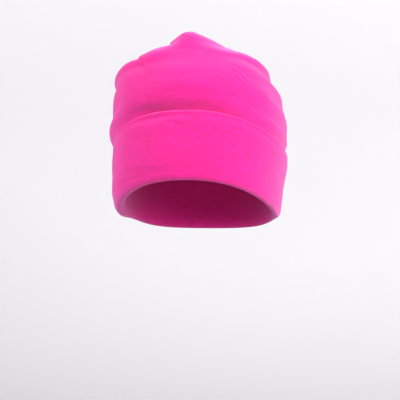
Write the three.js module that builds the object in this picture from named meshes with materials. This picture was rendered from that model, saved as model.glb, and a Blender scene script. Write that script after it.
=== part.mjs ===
// A cuffed jersey beanie in its worn shape, in millimetres. +Z is up and the wearer faces -Y.
// The origin is the middle of the head opening, on the head's axis. Left (-X) and right (+X) are
// the sides as somebody sees them who looks at the wearer's face.
// The crown is a loose, hollow dome. The cuff is a folded band of U section: its inner leg lines the
// opening, its lower fold is the rim, and its outer leg is the turned-up cuff.
import * as THREE from 'three';

const CLOTH = 2.2; // wall thickness: two layers of jersey
const SEAM_GAP = 0.3; // between the band's inner leg and the crown's lower edge
const AROUND = 60; // columns of the mesh around the hat
const RINGS_PER_ROW = 2.4; // rings of the crown's mesh to a row of its table
const LEG_STEP = 10; // height between the rings of the band's legs
const ROLL_STEPS = 6; // facets of the rolled rim
const SQUARENESS = 2.25; // plan outlines: 2 is an ellipse, more is squarer
const CREASE_SOFTNESS = 4; // radius at the bottom of a crease

// The inside of the rim: an egg, narrow at the forehead and widest behind the ears.
const OPENING = { left: -75, right: 75, front: -94, back: 96, midX: 0, midY: 12 };

// The rim climbs to the forehead, z = slope * y + bow * y * y, and is lifted a little behind the ears.
const RIM = { slope: -0.262, bow: 0.00093, lift: 5, liftAt: 48, liftReach: 30 };

// How high the turned-up cuff stands above the rim, by side. Heights in the band's table are for 70.
const CUFF_RISE = { front: 65.6, right: 65, back: 70, left: 73 };
const CUFF_NOMINAL = 70;
const SEAM_HEIGHT = 61; // top of the inner leg above the rim

// The band's cloth at each height above the rim. lean is how far the inner leg stands outside the
// opening; the side columns are the gap from there to the outer leg.
const BAND_ROWS = [
  { height: 8, lean: 1.3, front: 5.8, right: 7.4, back: 7.6, left: 9.8 },
  { height: 16, lean: 1.8, front: 6.8, right: 7.8, back: 8.9, left: 11.0 },
  { height: 30, lean: 3.2, front: 7.1, right: 8.2, back: 9.4, left: 9.9 },
  { height: 44, lean: 4.6, front: 6.9, right: 8.6, back: 9.1, left: 9.6 },
  { height: 58, lean: 5.8, front: 7.1, right: 9.8, back: 9.3, left: 7.4 },
  { height: 70, lean: 6.8, front: 5.2, right: 8.0, back: 7.0, left: 5.4 },
];
const LEAN_SHARE = { front: 0.15, right: 1, back: 0.7, left: 1 }; // the forehead is nearly upright

// The crown's cloth, a row for each level: its reach to each side, the place where it is widest, and
// how much of the rim's slant it keeps.
const CROWN_ROWS = [
  { level: 74, slant: 1.0, left: -84.8, right: 87.5, front: -97, back: 105, midX: 0, midY: 12 },
  { level: 85, slant: 1.0, left: -90.8, right: 91.0, front: -99.5, back: 110, midX: 0, midY: 12 },
  { level: 98, slant: 0.95, left: -85.0, right: 89.0, front: -99, back: 112, midX: 0, midY: 12 },
  { level: 113, slant: 0.86, left: -86.6, right: 87.2, front: -94, back: 111, midX: 0, midY: 12 },
  { level: 127, slant: 0.76, left: -85.4, right: 84.0, front: -86, back: 106, midX: 0, midY: 12 },
  { level: 139, slant: 0.68, left: -84.5, right: 76.5, front: -76, back: 96, midX: -1, midY: 11 },
  { level: 150, slant: 0.6, left: -76, right: 71.5, front: -64, back: 82, midX: -3, midY: 10 },
  { level: 159, slant: 0.6, left: -58.5, right: 56, front: -50, back: 66, midX: -5, midY: 9 },
  { level: 168, slant: 0.6, left: -40, right: 30.5, front: -35, back: 48, midX: -7, midY: 8 },
  { level: 177, slant: 0.55, left: -26, right: 14, front: -20, back: 30, midX: -8, midY: 6 },
  { level: 185, slant: 0.5, left: -18.5, right: 3, front: -9, back: 14, midX: -9, midY: 4 },
  { level: 189, slant: 0.5, left: -9, right: -9, front: 4, back: 4, midX: -9, midY: 4 },
];

// Creases pressed into the crown. Each follows a curve through three places, given in degrees from the
// front and as a level, and is deepest at the middle one. The cloth rises out of it over reach.
const CREASES = [
  { name: 'tip left', from: [-20, 179], middle: [-75, 178], to: [-140, 176], depth: 5.5, reach: 6 },
  { name: 'tip right', from: [35, 181], middle: [97, 179], to: [150, 175], depth: 3, reach: 6 },
  { name: 'shoulder left', from: [-30, 161], middle: [-75, 160], to: [-130, 157], depth: 7, reach: 7 },
  { name: 'shoulder right', from: [45, 142], middle: [92, 134], to: [145, 128], depth: 8, reach: 8 },
  { name: 'cheek left', from: [-40, 124], middle: [-83, 129], to: [-125, 124], depth: 3, reach: 7 },
  { name: 'temple right', from: [70, 117], middle: [97, 112], to: [130, 106], depth: 2.5, reach: 6 },
  { name: 'nape', from: [125, 106], middle: [180, 118], to: [240, 104], depth: 6, reach: 15 },
];

const JERSEY = { color: 0xf92f9f, roughness: 0.92, metalness: 0 };

const SIDES = ['left', 'right', 'front', 'back'];

const radians = THREE.MathUtils.degToRad;

// A value given for each side, mixed by squared sine and cosine so that it turns smoothly.
function bySide(sides, angle) {
  const across = Math.sin(angle) ** 2;
  const along = Math.cos(angle) ** 2;
  const x = Math.sin(angle) >= 0 ? sides.right : sides.left;
  const y = Math.cos(angle) >= 0 ? sides.front : sides.back;
  return across * x + along * y;
}

// A plan outline of four quarter superellipses about (midX, midY). Angle 0 is the front, 90 degrees +X.
function outlinePoint(outline, angle, outwards = 0) {
  const sine = Math.sin(angle);
  const cosine = Math.cos(angle);
  const reachX = (sine >= 0 ? outline.right : outline.left) - outline.midX;
  const reachY = (cosine >= 0 ? outline.front : outline.back) - outline.midY;
  const power = 2 / SQUARENESS;
  const x = outline.midX + (reachX + Math.sign(reachX) * outwards) * Math.abs(sine) ** power;
  const y = outline.midY + (reachY + Math.sign(reachY) * outwards) * Math.abs(cosine) ** power;
  return new THREE.Vector2(x, y);
}

function rimHeight(y) {
  const lifted = RIM.lift * Math.exp(-(((y - RIM.liftAt) / RIM.liftReach) ** 2));
  return RIM.slope * y + RIM.bow * y * y + lifted;
}

// One column of a table at a row position that may lie between rows, as a Catmull-Rom curve.
function column(rows, name, position) {
  const last = rows.length - 1;
  const first = Math.min(Math.floor(position), last - 1);
  const u = position - first;
  const [a, b, c, d] = [-1, 0, 1, 2].map((k) => rows[THREE.MathUtils.clamp(first + k, 0, last)][name]);
  return b + 0.5 * u * (c - a + u * (2 * a - 5 * b + 4 * c - d + u * (3 * (b - c) + d - a)));
}

// The row position at which a rising column has a value, by straight lines between the rows.
function positionOf(rows, name, value) {
  const after = rows.findIndex((row) => row[name] >= value);
  if (after <= 0) return after < 0 ? rows.length - 1 : 0;
  const [low, high] = [rows[after - 1][name], rows[after][name]];
  return after - 1 + (value - low) / (high - low);
}

// A point of the band's cloth, by its height above the rim and its offset out of the opening.
function bandPoint(angle, height, offset) {
  const plan = outlinePoint(OPENING, angle, offset);
  const rise = bySide(CUFF_RISE, angle) / CUFF_NOMINAL;
  return new THREE.Vector3(plan.x, plan.y, rimHeight(plan.y) + height * rise);
}

function innerOffset(angle, height) {
  return column(BAND_ROWS, 'lean', positionOf(BAND_ROWS, 'height', height)) * bySide(LEAN_SHARE, angle);
}

function outerOffset(angle, height) {
  const position = positionOf(BAND_ROWS, 'height', height);
  const gaps = Object.fromEntries(SIDES.map((side) => [side, column(BAND_ROWS, side, position)]));
  return innerOffset(angle, height) + bySide(gaps, angle);
}

// The band's cloth at one angle: down the inner leg, round the rolled rim and up the outer leg.
function bandProfile(angle) {
  const low = BAND_ROWS[0].height;
  const top = CUFF_NOMINAL - CLOTH / 2;
  const innerSteps = Math.round((SEAM_HEIGHT - low) / LEG_STEP);
  const outerSteps = Math.round((top - low) / LEG_STEP);
  const points = [];
  for (let i = 0; i < innerSteps; i += 1) {
    const height = THREE.MathUtils.lerp(SEAM_HEIGHT, low, i / innerSteps);
    points.push(bandPoint(angle, height, innerOffset(angle, height)));
  }
  const near = innerOffset(angle, low);
  const far = outerOffset(angle, low);
  for (let i = 0; i <= ROLL_STEPS; i += 1) {
    const turn = (Math.PI * i) / ROLL_STEPS;
    const offset = (near + far) / 2 - ((far - near) / 2) * Math.cos(turn);
    points.push(bandPoint(angle, low - (low - CLOTH / 2) * Math.sin(turn), offset));
  }
  for (let i = 1; i <= outerSteps; i += 1) {
    const height = THREE.MathUtils.lerp(low, top, i / outerSteps);
    points.push(bandPoint(angle, height, outerOffset(angle, height)));
  }
  return points;
}

// The crown's table, started by a row that meets the top of the band's inner leg.
const seamOffset = (angle) => innerOffset(angle, SEAM_HEIGHT);
const seamReach = (side, angle) => OPENING[side] + Math.sign(OPENING[side]) * seamOffset(angle);
const SEAM_ROW = {
  level: SEAM_HEIGHT,
  slant: 1,
  left: seamReach('left', -Math.PI / 2),
  right: seamReach('right', Math.PI / 2),
  front: seamReach('front', 0),
  back: seamReach('back', Math.PI),
  midX: OPENING.midX,
  midY: OPENING.midY,
};
const ROWS = [SEAM_ROW, ...CROWN_ROWS];

// A point of the crown's cloth before its creases. Its lower edge follows the top of the inner leg.
function crownPoint(angle, position) {
  const names = [...SIDES, 'midX', 'midY'];
  const outline = Object.fromEntries(names.map((name) => [name, column(ROWS, name, position)]));
  const plan = outlinePoint(outline, angle);
  const slanted = column(ROWS, 'slant', position) * rimHeight(plan.y);
  const point = new THREE.Vector3(plan.x, plan.y, column(ROWS, 'level', position) + slanted);
  const seam = bandPoint(angle, SEAM_HEIGHT, seamOffset(angle));
  seam.z += SEAM_GAP;
  return seam.lerp(point, Math.min(position, 1));
}

// The line of a crease on the crown, as points of the cloth: a parabola through its three places.
function creaseLine(crease, steps = 24) {
  const along = (s, k) => {
    const [near, halfway, far] = [(1 - s) * (1 - 2 * s), 4 * s * (1 - s), s * (2 * s - 1)];
    return near * crease.from[k] + halfway * crease.middle[k] + far * crease.to[k];
  };
  return Array.from({ length: steps + 1 }, (_, i) => {
    const share = i / steps;
    return crownPoint(radians(along(share, 0)), positionOf(ROWS, 'level', along(share, 1)));
  });
}

// How deep a crease presses the cloth at a point: most on the line's middle, nothing at its ends.
function creaseDepth(crease, line, point) {
  let nearest = { distance: Infinity, share: 0 };
  for (let i = 1; i < line.length; i += 1) {
    const piece = new THREE.Line3(line[i - 1], line[i]);
    const share = piece.closestPointToPointParameter(point, true);
    const distance = piece.at(share, new THREE.Vector3()).distanceTo(point);
    if (distance < nearest.distance) nearest = { distance, share: (i - 1 + share) / (line.length - 1) };
  }
  const away = Math.hypot(nearest.distance, CREASE_SOFTNESS) - CREASE_SOFTNESS;
  return crease.depth * Math.exp(-away / crease.reach) * Math.sin(Math.PI * nearest.share);
}

// Unit normals of a grid of rings, pointing to the side that sees the rings run anticlockwise upwards.
function gridNormals(rings) {
  return rings.map((ring, i) => {
    const above = rings[Math.min(i + 1, rings.length - 1)];
    const below = rings[Math.max(i - 1, 0)];
    return ring.map((_, j) => {
      const next = (j + 1) % AROUND;
      const previous = (j + AROUND - 1) % AROUND;
      const upwards = above[j].clone().sub(below[j]);
      const sideways = ring[next].clone().sub(ring[previous]);
      return sideways.cross(upwards).normalize();
    });
  });
}

// A closed wall of cloth on both sides of a grid of rings. Both ends are open rings, or with a tip
// point and its normal the last ring closes on that point.
function clothWall(rings, normals, tip) {
  const positions = [];
  const indices = [];
  const addRing = (ring, i, side) => {
    const start = positions.length / 3;
    ring.forEach((p, j) => positions.push(...p.clone().addScaledVector(normals[i][j], (side * CLOTH) / 2)));
    return start;
  };
  const strip = (low, high) => {
    for (let j = 0; j < AROUND; j += 1) {
      const next = (j + 1) % AROUND;
      indices.push(low + j, low + next, high + next, low + j, high + next, high + j);
    }
  };
  const outer = rings.map((ring, i) => addRing(ring, i, 1));
  const inner = rings.map((ring, i) => addRing(ring, i, -1));
  for (let i = 1; i < rings.length; i += 1) {
    strip(outer[i - 1], outer[i]);
    strip(inner[i], inner[i - 1]);
  }
  strip(inner[0], outer[0]);
  const last = rings.length - 1;
  if (!tip) {
    strip(outer[last], inner[last]);
  } else {
    const peak = positions.length / 3;
    positions.push(tip.x, tip.y, tip.z + CLOTH / 2, tip.x, tip.y, tip.z - CLOTH / 2);
    for (let j = 0; j < AROUND; j += 1) {
      const next = (j + 1) % AROUND;
      indices.push(outer[last] + j, outer[last] + next, peak);
      indices.push(inner[last] + next, inner[last] + j, peak + 1);
    }
  }
  const geometry = new THREE.BufferGeometry();
  geometry.setAttribute('position', new THREE.Float32BufferAttribute(positions, 3));
  geometry.setIndex(indices);
  geometry.computeVertexNormals();
  return geometry;
}

const angles = Array.from({ length: AROUND }, (_, j) => (2 * Math.PI * j) / AROUND);

function makeCuff() {
  const profiles = angles.map(bandProfile);
  const rings = profiles[0].map((_, i) => profiles.map((profile) => profile[i]));
  return clothWall(rings, gridNormals(rings));
}

function makeCrown() {
  const last = ROWS.length - 1;
  const count = Math.round(last * RINGS_PER_ROW);
  const ringAt = (position) => angles.map((angle) => crownPoint(angle, position));
  const rings = Array.from({ length: count }, (_, i) => ringAt((i * last) / count));
  const normals = gridNormals(rings);
  const creases = CREASES.map((crease) => ({ crease, line: creaseLine(crease) }));
  rings.slice(1).forEach((ring, i) => {
    ring.forEach((point, j) => {
      const depths = creases.map(({ crease, line }) => creaseDepth(crease, line, point));
      point.addScaledVector(normals[i + 1][j], -Math.max(...depths));
    });
  });
  const folded = gridNormals(rings);
  folded[0].forEach((normal) => normal.setZ(0).normalize());
  return clothWall(rings, folded, crownPoint(0, last));
}

function named(name, geometry) {
  const mesh = new THREE.Mesh(geometry, new THREE.MeshStandardMaterial(JERSEY));
  mesh.name = name;
  return mesh;
}

const beanie = new THREE.Group();
beanie.add(named('crown', makeCrown()), named('cuff', makeCuff()));

export default beanie;
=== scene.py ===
"""A slouchy jersey beanie with a wide turned-up cuff, hot pink, in the shape it has when it is worn.

The frame is in metres, +Z up. The wearer faces -Y, and +X is on the right of somebody who looks at the
wearer's face. Shapes are worked out in millimetres and written to the meshes in metres.
Angles go round the hat from the front: 0 is -Y, 90 degrees is +X, 180 degrees is +Y.
"""
import logging
import math
from dataclasses import dataclass, field
from enum import Enum
from typing import Any, Optional, Union

import bpy
import numpy as np
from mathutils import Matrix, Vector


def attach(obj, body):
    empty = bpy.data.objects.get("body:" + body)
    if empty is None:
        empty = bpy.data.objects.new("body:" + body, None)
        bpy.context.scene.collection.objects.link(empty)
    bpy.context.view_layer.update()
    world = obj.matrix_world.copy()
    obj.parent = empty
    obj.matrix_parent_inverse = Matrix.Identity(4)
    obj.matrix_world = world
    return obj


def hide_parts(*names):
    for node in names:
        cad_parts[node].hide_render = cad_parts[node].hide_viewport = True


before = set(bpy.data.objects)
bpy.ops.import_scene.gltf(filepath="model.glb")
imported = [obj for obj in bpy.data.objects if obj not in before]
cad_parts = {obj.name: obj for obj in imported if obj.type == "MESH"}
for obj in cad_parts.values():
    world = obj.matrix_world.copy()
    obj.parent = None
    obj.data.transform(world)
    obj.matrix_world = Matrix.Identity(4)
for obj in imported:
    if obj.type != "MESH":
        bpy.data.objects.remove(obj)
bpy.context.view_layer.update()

LOG = logging.getLogger("beanie")

MM = 0.001  # metres in a millimetre
LAY_RADIUS = 90.0  # millimetres, the circle on which the cloth's own coordinates go round the hat
CROWN_COLUMNS = "level slant left right front back mid_x mid_y square"
Array = np.ndarray
Number = Union[float, Array]


class Face(Enum):
    """The side from which a fold or a swelling is drawn.

    The value is the side's azimuth in degrees, round from the front.
    """

    FRONT = 7.0
    LEFT = -90.0
    RIGHT = 90.0
    BACK = 180.0

    def plane(self, points: Array) -> tuple[Array, Array, Array]:
        """Coordinates of points as seen square on from this side.

        Args:
            points: Places in millimetres, with x, y and z on the last axis.

        Returns:
            The distance to the right, the height, and the distance towards the viewer.
        """
        turn = math.radians(self.value)
        across = points[..., 0] * math.cos(turn) + points[..., 1] * math.sin(turn)
        near = points[..., 0] * math.sin(turn) - points[..., 1] * math.cos(turn)
        return across, points[..., 2], near


@dataclass(frozen=True)
class Sides:
    """One size for each side of the hat, in millimetres or as a share."""

    left: Number
    right: Number
    front: Number
    back: Number

    def at(self, angle: Array) -> Array:
        """Mixes the sides by squared sine and squared cosine.

        Args:
            angle: Angles round the hat in radians.

        Returns:
            The size at each angle.
        """
        across = np.sin(angle) ** 2
        x = np.where(np.sin(angle) >= 0, self.right, self.left)
        y = np.where(np.cos(angle) >= 0, self.front, self.back)
        return across * x + (1 - across) * y


class Table:
    """Rows of numbers under named columns, which are read as smooth curves."""

    def __init__(self, names: str, rows: list[tuple[float, ...]]) -> None:
        """Keeps the columns by name.

        Args:
            names: The columns' names with spaces between.
            rows: A tuple of numbers for each row.
        """
        self.columns = dict(zip(names.split(), np.array(rows, dtype=float).T))
        self.last = len(rows) - 1

    def column(self, name: str, position: Array) -> Array:
        """A column between its rows, as a Catmull-Rom curve whose end rows count twice.

        Args:
            name: The column's name.
            position: Row positions, whole at a row.

        Returns:
            The column's value at each position.
        """
        values = self.columns[name]
        first = np.clip(np.floor(position).astype(int), 0, self.last - 1)
        u = position - first
        a, b, c, d = (values[np.clip(first + k, 0, self.last)] for k in (-1, 0, 1, 2))
        return b + 0.5 * u * (c - a + u * (2 * a - 5 * b + 4 * c - d + u * (3 * (b - c) + d - a)))

    def position(self, name: str, value: Array) -> Array:
        """The row position at which a rising column has a value, by straight lines between rows."""
        return np.interp(value, self.columns[name], np.arange(self.last + 1))

    def sides(self, position: Array) -> Sides:
        """The columns left, right, front and back at the same row positions."""
        return Sides(**{side: self.column(side, position) for side in ("left", "right", "front", "back")})


def bell(distance: Array, reach: float) -> Array:
    """A smooth hump: 1 at no distance, falling as exp of minus the squared distance over the reach."""
    return np.exp(-((distance / reach) ** 2))


def smooth_step(value: Array, low: float, high: float) -> Array:
    """Goes from 0 at low to 1 at high with level ends, as 3t squared minus 2t cubed."""
    t = np.clip((value - low) / (high - low), 0.0, 1.0)
    return t * t * (3 - 2 * t)


def unit(vectors: Array) -> Array:
    """Vectors divided by their length."""
    return vectors / np.maximum(np.linalg.norm(vectors, axis=-1, keepdims=True), 1e-9)


def grid_normals(grid: Array) -> Array:
    """Unit normals of a grid of closed rings: the way round crossed with the way from ring to ring.

    Args:
        grid: Points by ring and by column, with x, y and z on the last axis.

    Returns:
        A unit vector for each point.
    """
    around = np.roll(grid, -1, axis=1) - np.roll(grid, 1, axis=1)
    along = np.gradient(grid, axis=0)
    return unit(np.cross(around, along))


@dataclass(frozen=True)
class Fold:
    """A crease seen from one side: a line through three places, with its own depth on either hand.

    Where the depths differ, the cloth steps, so that one lobe hangs over the other.
    """

    face: Face
    start: tuple[float, float]
    middle: tuple[float, float]
    end: tuple[float, float]
    depth_left: float
    depth_right: float
    reach_left: float
    reach_right: float
    edge: float = 0.8
    steps: int = 28
    behind: float = 45.0

    def height(self, points: Array) -> Array:
        """How far the fold lifts the cloth, negative where it presses it in.

        The line is a parabola. Each hand falls off as exp of minus distance over reach, the two hands are
        mixed over the edge's width, and all of it fades to the line's ends as a sine.

        Args:
            points: The cloth before it is folded, in millimetres.

        Returns:
            The lift at each point in millimetres.
        """
        across, up, near = self.face.plane(points)
        share = np.linspace(0.0, 1.0, self.steps + 1)[:, None]
        line = (
            (1 - share) * (1 - 2 * share) * np.array(self.start)
            + 4 * share * (1 - share) * np.array(self.middle)
            + share * (2 * share - 1) * np.array(self.end)
        )
        best = np.full(across.shape, 1e9)
        hand = np.zeros(across.shape)
        where = np.zeros(across.shape)
        for i, (a, b) in enumerate(zip(line[:-1], line[1:])):
            step = b - a
            size = float(np.hypot(*step))
            dx, dy = across - a[0], up - a[1]
            t = np.clip((dx * step[0] + dy * step[1]) / size**2, 0.0, 1.0)
            distance = np.hypot(dx - t * step[0], dy - t * step[1])
            closer = distance < best
            best = np.where(closer, distance, best)
            hand = np.where(closer, (step[0] * dy - step[1] * dx) / size, hand)
            where = np.where(closer, (i + t) / self.steps, where)
        signed = np.where(hand >= 0, best, -best)
        mix = 0.5 + 0.5 * np.tanh(signed / self.edge)
        away = np.hypot(best, self.edge) - self.edge
        left = self.depth_left * np.exp(-away / self.reach_left)
        right = self.depth_right * np.exp(-away / self.reach_right)
        ends = np.sin(math.pi * where)
        shown = smooth_step(near, -self.behind, 0.0)
        return -(mix * left + (1 - mix) * right) * ends * shown


@dataclass(frozen=True)
class Swell:
    """A soft hump or dent seen from one side, an ellipse that may be turned anticlockwise."""

    face: Face
    at: tuple[float, float]
    size: tuple[float, float]
    rise: float
    turn: float = 0.0
    behind: float = 45.0

    def local(self, points: Array) -> tuple[Array, Array, Array]:
        """Coordinates in the turned ellipse, and the share that is on the face's side.

        Args:
            points: The cloth before it is folded, in millimetres.

        Returns:
            The distance along the ellipse's length, the distance beside it, and the share.
        """
        across, up, near = self.face.plane(points)
        turn = math.radians(self.turn)
        dx, dy = across - self.at[0], up - self.at[1]
        along = dx * math.cos(turn) + dy * math.sin(turn)
        beside = dy * math.cos(turn) - dx * math.sin(turn)
        return along, beside, smooth_step(near, -self.behind, 0.0)

    def height(self, points: Array) -> Array:
        """The hump's lift at each point: the product of a bell along it and a bell across it."""
        along, beside, shown = self.local(points)
        return self.rise * bell(along, self.size[0]) * bell(beside, self.size[1]) * shown


@dataclass(frozen=True)
class Drags(Swell):
    """A patch of fine parallel drag lines, which run along the patch's length."""

    pitch: float = 5.0
    wander: tuple[tuple[float, float], ...] = ((0.9, 9.0), (0.5, 4.3))  # radians, and millimetres per radian

    def height(self, points: Array) -> Array:
        """The lines' lift: a sine across the patch that wanders along it, under the patch's two bells.

        Args:
            points: The cloth before it is folded, in millimetres.

        Returns:
            The lift at each point in millimetres.
        """
        along, beside, shown = self.local(points)
        # The phases come from the patch's place, so that no two patches are alike
        bends = (size * np.sin(along / length + phase) for (size, length), phase in zip(self.wander, self.at))
        wave = np.sin(2 * math.pi * beside / self.pitch + sum(bends))
        # Each line is faint in places, down to a fifth of its height
        uneven = 0.6 + 0.4 * np.sin(along / 6.1 + beside / 3.7)
        return self.rise * wave * uneven * bell(along, self.size[0]) * bell(beside, self.size[1]) * shown


Form = Union[Fold, Swell]


@dataclass(frozen=True)
class Cloth:
    """What the two pieces share: the cloth's wall, the opening, the rim's line and the mesh's fineness."""

    wall: float = 2.2  # two layers of jersey
    around: int = 440  # columns round the hat
    front_share: float = 0.35  # how far the columns are drawn to the front, 0 for even steps
    squareness: float = 2.25  # power of the opening's superellipse
    middle: tuple[float, float] = (0.0, 12.0)
    opening: Sides = Sides(left=-75, right=75, front=-94, back=96)
    rim_slope: float = -0.262
    rim_bow: float = 0.00093
    rim_lift: float = 5.0
    rim_lift_at: float = 48.0
    rim_lift_reach: float = 30.0
    seam_height: float = 61.0

    def angles(self) -> Array:
        """Angles of the columns: t minus a share of its sine, which sets them closer at the front."""
        t = np.arange(self.around) * 2 * math.pi / self.around
        return t - self.front_share * np.sin(t)

    def rim(self, y: Array) -> Array:
        """Height of the rim: a bowed slope that climbs to the forehead, lifted a little behind the ears."""
        lifted = self.rim_lift * bell(y - self.rim_lift_at, self.rim_lift_reach)
        return self.rim_slope * y + self.rim_bow * y * y + lifted

    def outline(
        self,
        angle: Array,
        sides: Sides,
        middle: tuple[Number, Number],
        square: Number,
        outwards: Number = 0.0,
    ) -> Array:
        """A plan outline of four quarter superellipses that meet on the lines through its middle.

        Args:
            angle: Angles round the hat in radians.
            sides: How far the outline reaches to each side, as numbers or arrays.
            middle: The place from which the quarters are drawn.
            square: The superellipse's power, 2 for an ellipse and more for fuller corners.
            outwards: How much farther it reaches all round.

        Returns:
            x and y on the last axis, in millimetres.
        """
        sine, cosine = np.sin(angle), np.cos(angle)
        power = 2 / square
        reach_x = np.where(sine >= 0, sides.right - middle[0] + outwards, sides.left - middle[0] - outwards)
        reach_y = np.where(cosine >= 0, sides.front - middle[1] - outwards, sides.back - middle[1] + outwards)
        x = middle[0] + reach_x * np.abs(sine) ** power
        y = middle[1] + reach_y * np.abs(cosine) ** power
        return np.stack([x, y], axis=-1)


@dataclass(frozen=True)
class Sheet:
    """A piece's finished surface: its vertices, faces and the cloth's own coordinates."""

    points: Array
    faces: Array
    lay: Array


def wall_of_cloth(
    middle: Array,
    normals: Array,
    half: Array,
    lay: Array,
    inner_rings: Array,
    cap: int,
    tip: Optional[Array],
) -> Sheet:
    """Gives a grid of rings a thickness and closes it.

    The outer wall is the grid plus normal times half the thickness, the inner wall the grid minus that. Each
    open end is closed by a half circle: normal times cosine plus the way out of the end times sine.

    Args:
        middle: Rings of points in the middle of the cloth.
        normals: Unit normals that point to the outer wall.
        half: Half the thickness of each ring.
        lay: The cloth's own coordinates, a vector for each point.
        inner_rings: The rings, from the last to the first, that the inner wall keeps.
        cap: Rings in the half circle at each open end.
        tip: A place on which the last rings close, or nothing where that end is open too.

    Returns:
        The closed sheet, with its faces pointing out of the cloth.
    """
    count = middle.shape[1]
    thick = half[:, None, None]

    def half_circle(ring: int, before: int, turn_back: bool) -> tuple[Array, Array]:
        """Rings round an open end, from the outer wall to the inner one or back.

        Args:
            ring: The end's ring.
            before: The ring next to it.
            turn_back: Whether the half circle goes from the inner wall to the outer one.

        Returns:
            The rings' points and the cloth's coordinates at them.
        """
        outwards = unit(middle[ring] - middle[before])
        outwards = unit(outwards - normals[ring] * np.sum(outwards * normals[ring], axis=-1, keepdims=True))
        turn = np.linspace(0, math.pi, cap + 2)[1:-1, None, None]
        turn = math.pi - turn if turn_back else turn
        points = middle[ring] + half[ring] * (normals[ring] * np.cos(turn) + outwards * np.sin(turn))
        return points, np.repeat(lay[ring][None], cap, axis=0)

    rings = [middle + normals * thick]
    lays = [lay]
    if tip is None:
        points, lain = half_circle(-1, -2, False)
        rings.append(points)
        lays.append(lain)
    inner = (middle - normals * thick)[inner_rings]
    rings.append(inner)
    lays.append(lay[inner_rings])
    points, lain = half_circle(0, 1, True)
    rings.append(points)
    lays.append(lain)
    grid = np.concatenate(rings)
    lay_grid = np.concatenate(lays)
    total = grid.shape[0]
    low = np.arange(total)[:, None] * count + np.arange(count)
    high = np.roll(low, -1, axis=0)
    quads = np.stack([low, np.roll(low, -1, axis=1), np.roll(high, -1, axis=1), high], axis=-1)
    points, lay_flat = grid.reshape(-1, 3), lay_grid.reshape(-1, 3)
    if tip is None:
        return Sheet(points, quads.reshape(-1, 4), lay_flat)
    gap = middle.shape[0] - 1
    peak = len(points)
    outer_edge, inner_edge = low[gap], low[gap + 1]
    no_corner = np.full(count, -1)
    caps = np.concatenate([
        np.stack([outer_edge, np.roll(outer_edge, -1), np.full(count, peak), no_corner], axis=-1),
        np.stack([np.roll(inner_edge, -1), inner_edge, np.full(count, peak + 1), no_corner], axis=-1),
    ])
    quads = np.delete(quads, gap, axis=0).reshape(-1, 4)
    ends = np.stack([tip + [0, 0, half[-1]], tip - [0, 0, half[-1]]])
    ends_lay = np.repeat(lay[-1].mean(axis=0)[None], 2, axis=0)
    all_points, all_lays = np.concatenate([points, ends]), np.concatenate([lay_flat, ends_lay])
    return Sheet(all_points, np.concatenate([quads, caps]), all_lays)


def lay_of(grid: Array, angle: Array) -> Array:
    """The cloth's own coordinates in millimetres: round the hat as a circle in x and y, along it in z.

    x and y lie on one circle at the column's angle, so that nothing jumps at the back, and z is the length
    of cloth from the first ring, the same for a whole ring.

    Args:
        grid: Rings of points in the middle of the cloth.
        angle: The columns' angles round the hat in radians.

    Returns:
        A vector for each point of the grid.
    """
    steps = np.linalg.norm(np.diff(grid, axis=0), axis=-1).mean(axis=1)
    along = np.concatenate([[0.0], np.cumsum(steps)])
    ring = np.stack([LAY_RADIUS * np.sin(angle), -LAY_RADIUS * np.cos(angle)], axis=-1)
    ring = np.broadcast_to(ring, (len(along), len(angle), 2))
    up = np.broadcast_to(along[:, None, None], (len(along), len(angle), 1))
    return np.concatenate([ring, up], axis=-1)


def unevenness(angle: Array, along: Array, rise: float) -> Array:
    """The cloth's slight unevenness: a few sines of whole turns round the hat, slanted and out of step.

    Args:
        angle: Angles round the hat in radians.
        along: Lengths of cloth from the first ring, in millimetres.
        rise: The size of the largest sine in millimetres.

    Returns:
        The lift at each point in millimetres.
    """
    # Turns round the hat, slant in radians per millimetre, phase, and share of the rise
    waves = ((3, 0.041, 0.3, 1.0), (5, -0.057, 1.9, 0.8), (8, 0.083, 4.1, 0.55), (13, -0.12, 2.6, 0.35))
    total = sum(share * np.sin(turns * angle + slant * along + phase) for turns, slant, phase, share in waves)
    return rise * total


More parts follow.
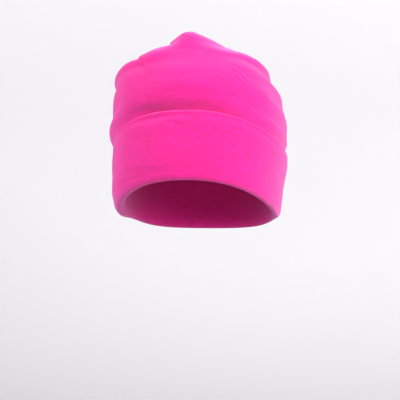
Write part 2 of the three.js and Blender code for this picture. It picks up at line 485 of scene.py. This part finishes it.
@dataclass
class Cuff:
    """The folded band: inner leg down to the rolled rim, then the turned-up cuff to its hemmed edge."""

    cloth: Cloth
    rise: Sides = Sides(left=67, right=62.5, front=64.2, back=70)
    nominal: float = 70.0
    lean_share: Sides = Sides(left=1, right=1, front=0.15, back=0.7)
    hem: float = 0.55  # how much each side of the cloth swells at the sewn edge
    hem_length: float = 3.0
    inner_leg_rings: int = 30
    roll_rings: int = 17
    outer_leg_rings: int = 61
    relief_rings: tuple[float, float] = (36.0, 50.0)  # from no relief on the roll to all on the outer leg
    lining_rings: int = 34
    cap_rings: int = 6
    rows: Table = field(default_factory=lambda: Table("height lean front right back left", [
        (8, 1.3, 5.8, 7.4, 7.6, 9.8),
        (16, 1.8, 6.8, 7.8, 8.9, 11.0),
        (30, 3.2, 7.1, 8.2, 9.4, 9.6),
        (44, 4.6, 6.9, 8.7, 9.1, 8.2),
        (58, 5.8, 7.1, 9.6, 9.3, 6.0),
        (70, 6.8, 5.2, 8.4, 7.0, 4.6),
    ]))
    relief: tuple[Form, ...] = ()

    def place(self, angle: Array, height: Array, offset: Array) -> Array:
        """A point of the band by its height above the rim and its distance outside the opening.

        Args:
            angle: Angles round the hat in radians.
            height: Heights above the rim, of the nominal height.
            offset: Distances outside the opening in millimetres.

        Returns:
            x, y and z on the last axis, in millimetres.
        """
        plan = self.cloth.outline(angle, self.cloth.opening, self.cloth.middle, self.cloth.squareness, offset)
        z = self.cloth.rim(plan[..., 1]) + height * self.rise.at(angle) / self.nominal
        return np.concatenate([plan, z[..., None]], axis=-1)

    def inner_offset(self, angle: Array, height: Array) -> Array:
        """How far the inner leg stands outside the opening: its lean times the side's share of it."""
        return self.rows.column("lean", self.rows.position("height", height)) * self.lean_share.at(angle)

    def outer_offset(self, angle: Array, height: Array) -> Array:
        """How far the outer leg stands outside the opening: the inner leg plus the side's gap."""
        gaps = self.rows.sides(self.rows.position("height", height))
        return self.inner_offset(angle, height) + gaps.at(angle)

    def middle_surface(self, angle: Array) -> Array:
        """Rings of the band's cloth: legs at even heights, and between them a half ellipse for the rim.

        Args:
            angle: Angles round the hat in radians.

        Returns:
            Points by ring and by column, from the seam down to the rim and up to the hem.
        """
        low = self.rows.columns["height"][0]
        top = self.nominal - self.cloth.wall / 2
        a = angle[None, :]
        down = np.linspace(self.cloth.seam_height, low, self.inner_leg_rings, endpoint=False)[:, None] + 0 * a
        inner = self.place(a, down, self.inner_offset(a, down))
        turn = np.linspace(0, math.pi, self.roll_rings)[:, None]
        near, far = self.inner_offset(a, low + 0 * a), self.outer_offset(a, low + 0 * a)
        offset = (near + far) / 2 - (far - near) / 2 * np.cos(turn)
        roll = self.place(a, low - (low - self.cloth.wall / 2) * np.sin(turn) + 0 * a, offset)
        up = np.linspace(low, top, self.outer_leg_rings + 1)[1:, None] + 0 * a
        outer = self.place(a, up, self.outer_offset(a, up))
        return np.concatenate([inner, roll, outer])

    def sheet(self) -> Sheet:
        """The band with its relief and its thickness.

        Returns:
            The closed sheet, in millimetres.
        """
        angle = self.cloth.angles()
        grid = self.middle_surface(angle)
        normals = grid_normals(grid)
        lift = sum((form.height(grid) for form in self.relief), np.zeros(grid.shape[:2]))
        outer_leg = smooth_step(np.arange(len(grid)), *self.relief_rings)[:, None]
        grid = grid + normals * (lift * outer_leg)[..., None]
        normals = grid_normals(grid)
        lay = lay_of(grid, angle)
        along = lay[:, 0, 2]
        half = self.cloth.wall / 2 + self.hem * smooth_step(along, along[-1] - self.hem_length, along[-1])
        inner_rings = np.unique(np.linspace(0, len(grid) - 1, self.lining_rings).round().astype(int))[::-1]
        return wall_of_cloth(grid, normals, half, lay, inner_rings, self.cap_rings, None)


@dataclass
class Crown:
    """The loose dome of jersey, from the band's seam up to its gathered tip.

    In front a steep sheet rises from the cuff to a soft ridge, which runs back to the tip.
    """

    cloth: Cloth
    cuff: Cuff
    rings: int = 172
    meridian_steps: int = 400
    lining_rings: int = 46
    cap_rings: int = 3
    seam_gap: float = 0.3
    tip_hole: float = 1.2  # the last ring stands this far from the tip and is closed by a fan
    uneven: float = 0.35
    gathers: int = 9
    gather_rise: float = 0.45
    gather_reach: float = 13.0
    gather_at: float = 4.0  # where the gathers are highest, as a length of cloth from the tip
    gather_start: float = 3.0
    gather_drift: float = 0.8
    rows: Table = field(default_factory=lambda: Table(CROWN_COLUMNS, [
        (61, 1.0, -80.9, 81.5, -94.0, 100.2, 0, 12, 2.25),
        (68, 1.0, -87.0, 87.3, -97.0, 103, 0, 12, 2.25),
        (74, 1.0, -90.0, 89.4, -102.0, 105, 0, 12, 2.25),
        (80, 1.0, -90.3, 88.8, -103.4, 108, 0, 12, 2.25),
        (88, 1.0, -88.0, 89.6, -103.6, 111, 0, 12, 2.25),
        (98, 0.95, -88.0, 90.2, -101.5, 112, 0, 12, 2.25),
        (111, 0.88, -87.4, 86.0, -98.0, 111, 0, 12, 2.25),
        (123, 0.79, -84.8, 83.0, -93.5, 107.5, 0, 12, 2.25),
        (134, 0.71, -83.2, 74.5, -89.5, 101, -1, 11, 2.25),
        (144, 0.6, -64.0, 73.5, -86.0, 90, -2, 10, 2.1),
        (152.5, 0.55, -32.5, 56.0, -82.5, 77, -4, 8, 1.95),
        (160, 0.52, -29.5, 41.0, -79.5, 66, -4, 8, 1.8),
        (165, 0.47, -28.5, 30.0, -76, 54, -4, 8, 1.6),
        (170, 0.28, -21.0, 17.0, -71, 40, -4, 6, 1.55),
        (176.0, 0.12, -15.5, 9.0, -60, 26, -4, 0, 1.55),
        (180.5, 0.03, -12.5, 3.5, -42, 13, -4, -6, 1.8),
        (183.2, 0.0, -9.5, -0.5, -22, 4, -4, -6, 2.0),
        (184.2, 0.0, -4, -4, -7, -7, -4, -7, 2.0),
    ]))
    relief: tuple[Form, ...] = ()

    def place(self, angle: Array, position: Array) -> Array:
        """A point of the crown's cloth before its folds.

        The plan is the row's outline, the height its level plus its share of the rim's slant. Below the
        second row it is drawn towards the top of the band's inner leg, where the seam is.

        Args:
            angle: Angles round the hat in radians.
            position: Positions in the crown's table.

        Returns:
            x, y and z on the last axis, in millimetres.
        """
        sides = self.rows.sides(position)
        middle = (self.rows.column("mid_x", position), self.rows.column("mid_y", position))
        plan = self.cloth.outline(angle, sides, middle, self.rows.column("square", position))
        slope = self.rows.column("slant", position) * self.cloth.rim(plan[..., 1])
        z = self.rows.column("level", position) + slope
        point = np.concatenate([plan, z[..., None]], axis=-1)
        height = self.cloth.seam_height + 0 * angle
        leg_top = self.cuff.place(angle, height, self.cuff.inner_offset(angle, height))
        seam = leg_top + [0, 0, self.seam_gap]
        share = np.clip(position, 0, 1)[..., None]
        return seam * (1 - share) + point * share

    def positions(self) -> Array:
        """Row positions of the rings, evenly spaced along the mean of four meridians.

        Returns:
            A rising row position for each ring.
        """
        fine = np.linspace(0, self.rows.last, self.meridian_steps)
        quarter = np.radians([0, 90, 180, 270])
        lines = self.place(quarter[None, :] + 0 * fine[:, None], fine[:, None] + 0 * quarter[None, :])
        steps = np.linalg.norm(np.diff(lines, axis=0), axis=-1).mean(axis=1)
        length = np.concatenate([[0], np.cumsum(steps)])
        return np.interp(np.linspace(0, length[-1] - self.tip_hole, self.rings), length, fine)

    def sheet(self) -> Sheet:
        """The crown with its folds, its gathers and its thickness.

        Returns:
            The closed sheet, in millimetres.
        """
        angle = self.cloth.angles()
        position = self.positions()
        grid = self.place(angle[None, :] + 0 * position[:, None], position[:, None] + 0 * angle[None, :])
        normals = grid_normals(grid)
        lay = lay_of(grid, angle)
        lift = sum((form.height(grid) for form in self.relief), np.zeros(grid.shape[:2]))
        lift += unevenness(angle[None, :], lay[..., 2], self.uneven)
        to_tip = lay[-1, 0, 2] - lay[..., 2]
        pleats = np.cos(self.gathers * angle + self.gather_drift * np.sin(2 * angle))[None, :]
        shown = bell(to_tip - self.gather_at, self.gather_reach)
        lift += self.gather_rise * pleats * shown * smooth_step(to_tip, 0, self.gather_start)
        above_seam = smooth_step(position, 0.0, 1.0)[:, None]
        grid = grid + normals * (lift * above_seam)[..., None]
        normals = grid_normals(grid)
        normals[0] = unit(normals[0] * [1, 1, 0])
        half = np.full(len(grid), self.cloth.wall / 2)
        inner_rings = np.unique(np.linspace(0, len(grid) - 1, self.lining_rings).round().astype(int))[::-1]
        tip = grid[-1].mean(axis=0)
        return wall_of_cloth(grid, normals, half, lay, inner_rings, self.cap_rings, tip)


def crown_relief() -> tuple[Form, ...]:
    """The crown's folds and swellings, each drawn as it is seen from one side.

    Returns:
        The forms in millimetres, whose lifts are added up.
    """
    front, left, right, back = Face.FRONT, Face.LEFT, Face.RIGHT, Face.BACK
    return (
        # The lobes along the left of the outline, from the tip down
        Fold(front, (-22, 163), (-30.5, 175.5), (-38, 187), 2.2, 0.6, 5.0, 3.0, edge=0.5, behind=30),
        Fold(front, (-27, 172), (-41, 166.5), (-57, 157), -0.6, 1.8, 9, 3, edge=0.5, behind=30),
        Fold(front, (-48, 138), (-56.5, 152), (-63, 165), 2.4, 0.3, 7.0, 3.0, edge=0.7, behind=30),
        Fold(front, (-57, 157), (-71.5, 150.5), (-83, 138), -0.6, 1.6, 9, 3, edge=0.5, behind=30),
        Fold(front, (-68, 127), (-86, 125.2), (-98, 122), 1.5, 1.5, 5, 5, behind=30),
        # The steps along its right, where one lobe ends over the next
        Fold(front, (27, 160), (20.5, 174), (14, 188), 0.1, 0.9, 3, 4, edge=0.5, behind=30),
        Fold(front, (54, 150), (47.5, 165), (42, 179), 0.2, 0.9, 3, 4, edge=0.5, behind=30),
        Fold(front, (54, 147), (73.5, 134), (88, 119), 6.2, 1.6, 5, 5, edge=0.4, behind=30),
        Fold(front, (68, 115), (86, 111.5), (101, 106), 1.6, 1.8, 3.5, 3.5, behind=30),
        # The front sheet: slack under the tip, soft ridges to the lobes, the roll above the cuff
        Fold(front, (-7, 189), (-5, 176), (0, 158), -1.6, -2.0, 16, 9, edge=3.0, behind=12),
        Swell(front, (-16, 175), (9, 6), -1.8, behind=12),
        Swell(front, (-42, 157), (20, 8), 1.7, turn=27),
        Swell(front, (-70, 141), (14, 8), 1.4, turn=45),
        Swell(front, (56, 148), (18, 8), 0.6, turn=-32),
        Fold(front, (38, 172), (38, 142), (26, 108), -1.2, -0.6, 24, 6, edge=4.0),
        Swell(front, (16, 154), (26, 9), -0.8, turn=-30),
        Swell(front, (-42, 99), (26, 6.0), -2.2, turn=-3),
        Swell(front, (-80, 100), (8, 16), -1.5, turn=-20),
        Swell(front, (-25, 125), (45, 11), 0.8, turn=4),
        Swell(front, (70, 104), (12, 24), 0.9, turn=20),
        Swell(front, (54, 90), (32, 7), 4.2, turn=-22),
        Drags(front, (37, 130), (26, 18), 0.22, turn=-38, pitch=4.6),
        Drags(front, (70, 98), (24, 12), 0.25, turn=-36, pitch=5.2),
        Drags(front, (-40, 120), (36, 14), 0.15, turn=-8, pitch=6.3),
        # Loose cloth behind the front sheet on the wearer's right, out of sight from the front
        Swell(left, (-18, 156), (36, 14), 12.5, behind=30),
        # The wearer's right side
        Fold(left, (-62, 92), (-20, 104), (38, 121), 2.8, 1.6, 11, 6),
        Fold(left, (-70, 128), (-35, 140), (0, 158), 2.8, 1.6, 10, 6),
        Swell(left, (-20, 125), (38, 12), 1.6, turn=18),
        Drags(left, (0, 118), (50, 20), 0.4, turn=14, pitch=6.5),
        Drags(left, (-34, 146), (34, 12), 0.35, turn=32, pitch=5.6),
        # The wearer's left side
        Fold(right, (-40, 112), (10, 104), (66, 84), 1.6, 2.8, 6, 11),
        Fold(right, (0, 158), (36, 142), (74, 126), 1.6, 2.8, 6, 10),
        Swell(right, (30, 122), (40, 12), 1.4, turn=-16),
        Drags(right, (8, 116), (50, 20), 0.4, turn=-18, pitch=6.5),
        Drags(right, (40, 146), (34, 12), 0.35, turn=-34, pitch=5.6),
        # The slack at the back
        Fold(back, (-74, 96), (-12, 72), (66, 92), 4.0, 2.4, 13, 7),
        Fold(back, (-62, 134), (-8, 112), (58, 126), 4.4, 2.4, 13, 7),
        Fold(back, (-10, 172), (4, 146), (-14, 118), 3.0, 2.4, 10, 7),
        Swell(back, (0, 96), (56, 11), 2.2),
        Swell(back, (24, 146), (12, 16), 1.8, turn=20),
        Drags(back, (0, 100), (60, 26), 0.45, turn=4, pitch=6.8),
    )


def cuff_relief() -> tuple[Form, ...]:
    """The cuff's ripples and wrinkles, each drawn as it is seen from one side.

    Returns:
        The forms in millimetres, whose lifts are added up.
    """
    front, left, right, back = Face.FRONT, Face.LEFT, Face.RIGHT, Face.BACK
    return (
        # The groove under the hem, the short wrinkle below it and the ripples above the rim
        Swell(front, (-42, 93), (26, 4), -1.7, turn=8),
        Swell(front, (-46, 101), (38, 4), 1.0, turn=6),
        Fold(front, (-33, 90), (-22, 89.4), (-11, 85.5), -0.4, 1.5, 2, 2.5, edge=0.5, behind=30),
        Fold(front, (-84, 33), (-62.7, 45), (-28, 44), -0.3, 0.6, 4, 4, behind=30),
        Fold(front, (-80, 24), (-65.6, 36), (-42, 38.5), -0.2, 0.5, 3, 4, behind=30),
        Fold(front, (26, 97), (63, 86), (94, 58), -0.3, 0.9, 1.8, 2.2, edge=0.5, behind=30),
        Fold(front, (50, 84), (69.7, 76), (92, 56), -0.2, 0.6, 1.8, 2.2, edge=0.5, behind=30),
        Drags(front, (62, 76), (30, 9), 0.16, turn=-38, pitch=4.8),
        Drags(front, (10, 62), (48, 14), 0.1, turn=-10, pitch=6.2),
        Swell(front, (-30, 60), (34, 14), 0.7, turn=6),
        # Slack round the sides and back
        Fold(left, (-50, 22), (-4, 30), (52, 44), 0.9, 0.6, 8, 7),
        Fold(right, (-54, 42), (2, 30), (50, 18), 0.9, 0.6, 8, 7),
        Fold(back, (-60, 8), (-4, 14), (58, 6), 0.9, 0.6, 8, 7),
        Fold(back, (-50, 34), (10, 28), (62, 38), 0.7, 0.6, 7, 7),
        Drags(back, (0, 24), (60, 18), 0.15, turn=2, pitch=6.5),
    )


@dataclass(frozen=True)
class Piece:
    """One finished mesh object and the CAD node that it stands for."""

    name: str
    node: str
    sheet: Sheet

    def build(self) -> bpy.types.Object:
        """Puts the sheet into a mesh object at the origin, in metres, with its lay as an attribute.

        Returns:
            The new object, which rides on the body and replaces its node.
        """
        faces = self.sheet.faces
        sizes = np.where(faces[:, 3] < 0, 3, 4)
        corners = faces[faces >= 0]
        mesh = bpy.data.meshes.new(self.name)
        mesh.vertices.add(len(self.sheet.points))
        mesh.vertices.foreach_set("co", (self.sheet.points * MM).astype(np.float32).ravel())
        mesh.loops.add(len(corners))
        mesh.loops.foreach_set("vertex_index", corners.astype(np.int32))
        mesh.polygons.add(len(faces))
        mesh.polygons.foreach_set("loop_start", np.concatenate([[0], np.cumsum(sizes)[:-1]]).astype(np.int32))
        mesh.polygons.foreach_set("use_smooth", np.ones(len(faces), dtype=bool))
        mesh.update(calc_edges=True)
        mesh.validate()
        lay = mesh.attributes.new("lay", "FLOAT_VECTOR", "POINT")
        lay.data.foreach_set("vector", self.sheet.lay.astype(np.float32).ravel())
        made = bpy.data.objects.new(self.name, mesh)
        bpy.context.scene.collection.objects.link(made)
        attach(made, "root")
        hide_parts(self.node)
        return made


def linear(colour: str) -> tuple[float, float, float, float]:
    """Turns an sRGB colour linear.

    Args:
        colour: The colour as # and six hex digits.

    Returns:
        Linear red, green and blue, with full alpha.
    """
    parts = [int(colour[i:i + 2], 16) / 255 for i in (1, 3, 5)]
    red, green, blue = (p / 12.92 if p <= 0.04045 else ((p + 0.055) / 1.055) ** 2.4 for p in parts)
    return red, green, blue, 1.0


def add(tree: Any, kind: str, settings: dict[str, Any], **sockets: Any) -> Any:
    """Adds a node, sets its properties, and sets or links its input sockets.

    Args:
        tree: The node tree.
        kind: The node's type name without the word ShaderNode.
        settings: Properties of the node by name.
        **sockets: Values or output sockets, by the input's name with _ for a space, or by i and its number.

    Returns:
        The new node.
    """
    node = tree.nodes.new("ShaderNode" + kind)
    for name, value in settings.items():
        setattr(node, name, value)
    for name, value in sockets.items():
        numbered = name[0] == "i" and name[1:].isdigit()
        socket = node.inputs[int(name[1:])] if numbered else node.inputs[name.replace("_", " ")]
        if isinstance(value, bpy.types.NodeSocket):
            tree.links.new(value, socket)
        else:
            socket.default_value = value
    return node


@dataclass(frozen=True)
class SlubJersey:
    """Cotton single jersey knitted from slub yarn and dyed hot pink.

    The yarn's thick places show as short darker dashes along the courses. Its fine loops make it matte, and
    the fibre ends that stand off it give a pale bloom where it is seen at a slant.
    """

    name: str = "slub_jersey"
    colour: str = "#e31388"
    slub_colour: str = "#d60a6e"
    slub_length: float = 8.0
    slub_width: float = 1.1  # a slub is about 0.4 mm thick, and is drawn near three times that to show
    slub_from: float = 0.46  # the noise at which a thick place begins, and that at which it is full
    slub_full: float = 0.65
    slub_share: float = 0.85
    slub_depth: float = 0.8
    clouding: float = 0.12  # the largest share of the slubs' colour in the dye's slow clouds
    cloud_scale: float = 0.045  # per millimetre, so a cloud is about 22 mm across
    wale: float = 1.0  # wales stand 0.6 mm apart, and are drawn 1 mm apart
    wale_height: float = 0.12
    fuzz_scale: tuple[float, float, float] = (0.9, 0.9, 1.4)
    bump: float = 0.35
    bump_height: float = 0.25  # millimetres
    roughness: float = 0.88
    specular: float = 0.25
    sheen: float = 0.6
    sheen_roughness: float = 0.54
    bloom: tuple[float, float, float, float] = (0.95, 0.5, 1.0, 1.0)

    def material(self) -> bpy.types.Material:
        """Builds the material, whose patterns are laid out in millimetres of cloth.

        Returns:
            The new material.
        """
        made = bpy.data.materials.new(self.name)
        made.use_nodes = True
        tree = made.node_tree
        tree.nodes.clear()
        lay = add(tree, "Attribute", {"attribute_name": "lay"}).outputs["Vector"]
        along, across = 1 / self.slub_length, 1 / self.slub_width
        slub_map = add(tree, "Mapping", {}, Vector=lay, Scale=(along, along, across))
        slub = add(tree, "TexNoise", {}, Vector=slub_map.outputs[0], Scale=1.0, Detail=2.0, Roughness=0.6)
        dash = add(tree, "MapRange", {}, Value=slub.outputs[0], From_Min=self.slub_from,
                   From_Max=self.slub_full, To_Max=self.slub_share)
        cloud = add(tree, "TexNoise", {}, Vector=lay, Scale=self.cloud_scale, Detail=3.0)
        drift = add(tree, "MapRange", {}, Value=cloud.outputs[0], From_Min=0.3, From_Max=0.7,
                    To_Max=self.clouding)
        worn = add(tree, "Mix", {"data_type": "RGBA"}, i0=drift.outputs[0], i6=linear(self.colour),
                   i7=linear(self.slub_colour))
        dyed = add(tree, "Mix", {"data_type": "RGBA"}, i0=dash.outputs[0], i6=worn.outputs[2],
                   i7=linear(self.slub_colour))
        parts = add(tree, "SeparateXYZ", {}, Vector=lay)
        angle = add(tree, "Math", {"operation": "ARCTAN2"}, i0=parts.outputs[0], i1=parts.outputs[1])
        count = round(2 * math.pi * LAY_RADIUS / self.wale)
        turned = add(tree, "Math", {"operation": "MULTIPLY"}, i0=angle.outputs[0], i1=float(count))
        ribs = add(tree, "Math", {"operation": "SINE"}, i0=turned.outputs[0])
        fuzz_map = add(tree, "Mapping", {}, Vector=lay, Scale=self.fuzz_scale)
        fuzz = add(tree, "TexNoise", {}, Vector=fuzz_map.outputs[0], Scale=1.0, Detail=3.0)
        rib_height = add(tree, "Math", {"operation": "MULTIPLY_ADD"}, i0=ribs.outputs[0],
                         i1=self.wale_height, i2=fuzz.outputs[0])
        height = add(tree, "Math", {"operation": "MULTIPLY_ADD"}, i0=dash.outputs[0],
                     i1=-self.slub_depth, i2=rib_height.outputs[0])
        bump = add(tree, "Bump", {}, Height=height.outputs[0], Strength=self.bump,
                   Distance=self.bump_height * MM)
        cloth = add(tree, "BsdfPrincipled", {}, Base_Color=dyed.outputs[2], Normal=bump.outputs[0],
                    Roughness=self.roughness, Specular_IOR_Level=self.specular, Sheen_Weight=self.sheen,
                    Sheen_Roughness=self.sheen_roughness, Sheen_Tint=self.bloom)
        add(tree, "OutputMaterial", {}, Surface=cloth.outputs[0])
        return made


@dataclass(frozen=True)
class MattePaint:
    """Matt studio paint, which has no highlight, so the backdrop stays even and only its shade changes."""

    name: str = "matte_paint"
    wall: str = "#dddcdd"
    floor: str = "#8c8c8c"
    turns_from: float = 0.3  # the floor's grey turns to the wall's paint between these places along +Y
    turns_to: float = 2.2
    roughness: float = 0.95

    def material(self) -> bpy.types.Material:
        """Builds the material from the two shades.

        Returns:
            The new material.
        """
        made = bpy.data.materials.new(self.name)
        made.use_nodes = True
        tree = made.node_tree
        tree.nodes.clear()
        here = add(tree, "TexCoord", {}).outputs["Object"]
        parts = add(tree, "SeparateXYZ", {}, Vector=here)
        share = add(tree, "MapRange", {}, Value=parts.outputs[1], From_Min=self.turns_from,
                    From_Max=self.turns_to)
        shade = add(tree, "Mix", {"data_type": "RGBA"}, i0=share.outputs[0], i6=linear(self.floor),
                    i7=linear(self.wall))
        shader = add(tree, "BsdfPrincipled", {}, Base_Color=shade.outputs[2], Roughness=self.roughness)
        add(tree, "OutputMaterial", {}, Surface=shader.outputs[0])
        return made


@dataclass(frozen=True)
class SoftBox:
    """A square studio light on a stand."""

    name: str
    place: tuple[float, float, float]
    aim: tuple[float, float, float]
    size: float
    power: float
    colour: str

    def light(self) -> None:
        """Hangs the light and turns it to its aim."""
        lamp = bpy.data.lights.new(self.name, "AREA")
        lamp.size, lamp.energy = self.size, self.power
        lamp.color = linear(self.colour)[:3]
        made = bpy.data.objects.new(self.name, lamp)
        made.location = self.place
        way = Vector(self.aim) - Vector(self.place)
        made.rotation_euler = way.to_track_quat("-Z", "Y").to_euler()
        made.visible_camera = False
        bpy.context.scene.collection.objects.link(made)


@dataclass(frozen=True)
class Studio:
    """A round pale studio whose floor curves up into its wall, with soft light and the camera, in metres."""

    floor: float = -0.5
    flat: float = 1.5
    curve: float = 0.9
    wall: float = 1.2
    columns: int = 96
    first_ring: float = 0.01  # the floor's innermost ring, which one face fills
    flat_rings: int = 12
    curve_rings: int = 24
    paint: MattePaint = MattePaint()
    sky: float = 0.25
    sky_colour: tuple[float, float, float, float] = (0.96, 0.96, 0.97, 1.0)
    distance: float = 1.2
    aside: float = 0.002  # the camera stands this far to the right of the hat's middle line, and this high
    up: float = 0.015
    sensor: float = 36.0  # millimetres
    mm_per_pixel: float = 1.035
    pixels: int = 400
    lights: tuple[SoftBox, ...] = (
        SoftBox("key", (1.35, -0.85, 0.6), (0.0, 0.0, 0.1), 1.4, 51.0, "#ffffff"),
        SoftBox("fill", (-1.3, -0.85, 0.65), (0.0, 0.0, 0.1), 1.4, 34.0, "#f6f3ff"),
        SoftBox("side", (1.7, -0.1, 0.3), (0.0, 0.0, 0.08), 1.2, 3.0, "#ffffff"),
        SoftBox("top", (-0.1, 0.55, 1.2), (0.0, 0.0, 0.12), 1.4, 9.0, "#ffffff"),
        SoftBox("wash_left", (-0.9, 1.2, 1.6), (-0.6, 2.6, 0.9), 1.0, 8.0, "#ffffff"),
        SoftBox("wash_right", (0.9, 1.2, 1.6), (0.6, 2.6, 0.9), 1.0, 16.0, "#ffffff"),
    )

    def sweep(self) -> None:
        """Makes the floor and wall: a disc, a quarter circle and an upright, turned about the middle."""
        turn = np.linspace(0, math.pi / 2, self.curve_rings)[1:]
        disc = np.linspace(self.first_ring, self.flat, self.flat_rings)
        radius = np.concatenate([disc, self.flat + self.curve * np.sin(turn), [self.flat + self.curve]])
        height = np.concatenate([0 * disc, self.curve * (1 - np.cos(turn)), [self.curve + self.wall]])
        angle = np.linspace(0, 2 * math.pi, self.columns, endpoint=False)
        grid = np.stack([
            radius[:, None] * np.cos(angle),
            radius[:, None] * np.sin(angle),
            self.floor + height[:, None] + 0 * angle,
        ], axis=-1)
        low = np.arange(len(radius) - 1)[:, None] * self.columns + np.arange(self.columns)
        following = np.roll(low, -1, axis=1)
        faces = np.stack([low, following, following + self.columns, low + self.columns], axis=-1)
        mesh = bpy.data.meshes.new("sweep")
        middle = [list(range(self.columns - 1, -1, -1))]
        mesh.from_pydata(grid.reshape(-1, 3).tolist(), [], faces.reshape(-1, 4).tolist() + middle)
        mesh.polygons.foreach_set("use_smooth", np.ones(len(mesh.polygons), dtype=bool))
        made = bpy.data.objects.new("sweep", mesh)
        bpy.context.scene.collection.objects.link(made)
        mesh.materials.append(self.paint.material())

    def camera(self) -> None:
        """Sets the camera level with the cuff, square on to the front as it is seen in the photograph."""
        turn = math.radians(Face.FRONT.value)
        lens = bpy.data.cameras.new("camera")
        width = self.pixels * self.mm_per_pixel * MM
        lens.sensor_width = self.sensor
        lens.lens = lens.sensor_width * self.distance / width
        lens.clip_start, lens.clip_end = 0.05, 20.0
        made = bpy.data.objects.new("camera", lens)
        made.location = (
            self.distance * math.sin(turn) + self.aside * math.cos(turn),
            -self.distance * math.cos(turn) + self.aside * math.sin(turn),
            self.up,
        )
        made.rotation_euler = (math.pi / 2, 0.0, turn)
        bpy.context.scene.collection.objects.link(made)
        bpy.context.scene.camera = made

    def set_up(self) -> None:
        """Builds the studio and lights it."""
        self.sweep()
        self.camera()
        for light in self.lights:
            light.light()
        world = bpy.data.worlds.new("sky")
        world.use_nodes = True
        world.node_tree.nodes["Background"].inputs["Color"].default_value = self.sky_colour
        world.node_tree.nodes["Background"].inputs["Strength"].default_value = self.sky
        bpy.context.scene.world = world
        bpy.context.scene.view_settings.view_transform = "Standard"


def main() -> None:
    """Builds the crown, the cuff and the studio."""
    logging.basicConfig(level=logging.INFO, format="%(message)s")
    cloth = Cloth()
    cuff = Cuff(cloth, relief=cuff_relief())
    crown = Crown(cloth, cuff, relief=crown_relief())
    jersey = SlubJersey().material()
    for name, shape in (("crown", crown), ("cuff", cuff)):
        made = Piece(name + "_jersey", name, shape.sheet()).build()
        made.data.materials.append(jersey)
        LOG.info("%s: %d faces", made.name, len(made.data.polygons))
    Studio().set_up()


if __name__ == "__main__":
    main()
